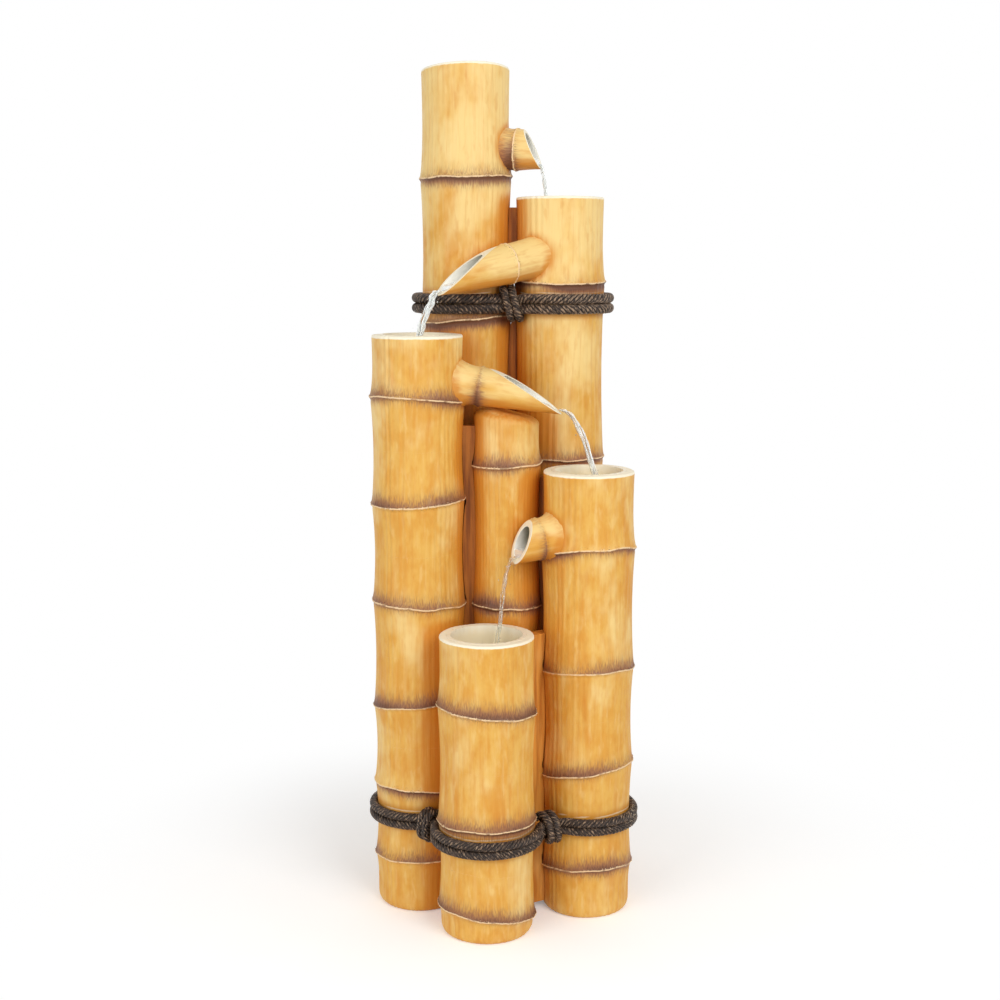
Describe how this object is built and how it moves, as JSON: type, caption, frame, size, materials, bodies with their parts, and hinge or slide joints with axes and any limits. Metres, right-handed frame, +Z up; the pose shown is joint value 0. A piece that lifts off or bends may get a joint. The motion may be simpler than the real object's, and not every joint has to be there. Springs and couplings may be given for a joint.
{
  "type": "cascade water feature",
  "caption": "Bamboo-cane cascade fountain: stepped resin canes with pool cups, slanting spouts, rope lashings, a hidden pump and a hinged rear door.",
  "frame": {"origin": "on the ground, on the axis of the filler cane in the middle of the bundle", "axes": "+Z up; -Y towards the front, where the lowest cane stands; +X to the right seen from the front"},
  "size_m": [0.3906, 0.3851, 1.2],
  "materials": {
    "cane_resin": "hand-painted cast resin, golden bamboo",
    "web_resin": "hand-painted cast resin, brown in the crevices",
    "cup_resin": "cream to grey-green cast resin",
    "rope_fibre": "dark twisted fibre rope",
    "pump_plastic": "black moulded plastic",
    "fitting_plastic": "grey moulded plastic",
    "hose_vinyl": "clear-grey vinyl hose",
    "seal_rubber": "black rubber",
    "steel": "stainless steel",
    "magnet": "plastic-bonded ferrite",
    "shaft_ceramic": "white ceramic"
  },
  "bodies": {
    "fountain": {"basin_cane": "cane_resin", "basin_cup": "cup_resin", "cable_grommet": "seal_rubber", "catch_magnet": "magnet", "filler_cane": "cane_resin", "fitting_nut": "fitting_plastic", "fitting_seal": "seal_rubber", "fourth_cane": "cane_resin", "fourth_cup": "cup_resin", "fourth_spout": "cane_resin", "header_cane": "cane_resin", "header_cup": "cup_resin", "header_fitting": "fitting_plastic", "header_spout": "cane_resin", "hinge_pintles": "steel", "hose_clamps": "steel", "intake_strainer": "pump_plastic", "lower_left_knot": "rope_fibre", "lower_right_knot": "rope_fibre", "lower_rope": "rope_fibre", "pump_cover": "pump_plastic", "pump_housing": "pump_plastic", "return_pipe_front": "fitting_plastic", "return_pipe_rear": "fitting_plastic", "riser_hose": "hose_vinyl", "rotor_shaft": "shaft_ceramic", "second_cane": "cane_resin", "second_cup": "cup_resin", "second_spout": "cane_resin", "suction_feet": "seal_rubber", "third_cane": "cane_resin", "third_cup": "cup_resin", "third_spout": "cane_resin", "upper_knot": "rope_fibre", "upper_rope": "rope_fibre", "web_basin_fourth": "web_resin", "web_filler_fourth": "web_resin", "web_header_second": "web_resin", "web_header_third": "web_resin", "web_second_fourth": "web_resin", "web_third_basin": "web_resin", "web_third_filler": "web_resin"},
    "door": {"access_door": "cane_resin", "door_gudgeons": "steel", "door_knob": "steel", "catch_plate": "steel"},
    "impeller": {"impeller": "magnet"},
    "dial": {"flow_dial": "pump_plastic"},
    "plug": {"drain_plug": "seal_rubber"},
    "strainer": {"basin_strainer": "pump_plastic"}
  },
  "joints": [
    {"name": "door_hinge", "type": "hinge", "parent": "fountain", "child": "door", "pos_m": [-0.10484, 0.16482, 0.1761], "axis": [0, 0, 1], "range_deg": [0, 105]},
    {"name": "impeller_spin", "type": "hinge", "parent": "fountain", "child": "impeller", "pos_m": [-0.05877, 0.10691, 0.039], "axis": [1, 0, 0], "continuous": true},
    {"name": "dial_turn", "type": "hinge", "parent": "fountain", "child": "dial", "pos_m": [-0.01847, 0.10691, 0.039], "axis": [1, 0, 0], "range_deg": [0, 90]},
    {"name": "plug_pull", "type": "slide", "parent": "fountain", "child": "plug", "axis": [0, 1, 0], "range_m": [0, 0.04]},
    {"name": "strainer_lift", "type": "slide", "parent": "fountain", "child": "strainer", "axis": [0, 0, 1], "range_m": [0, 0.12]}
  ]
}
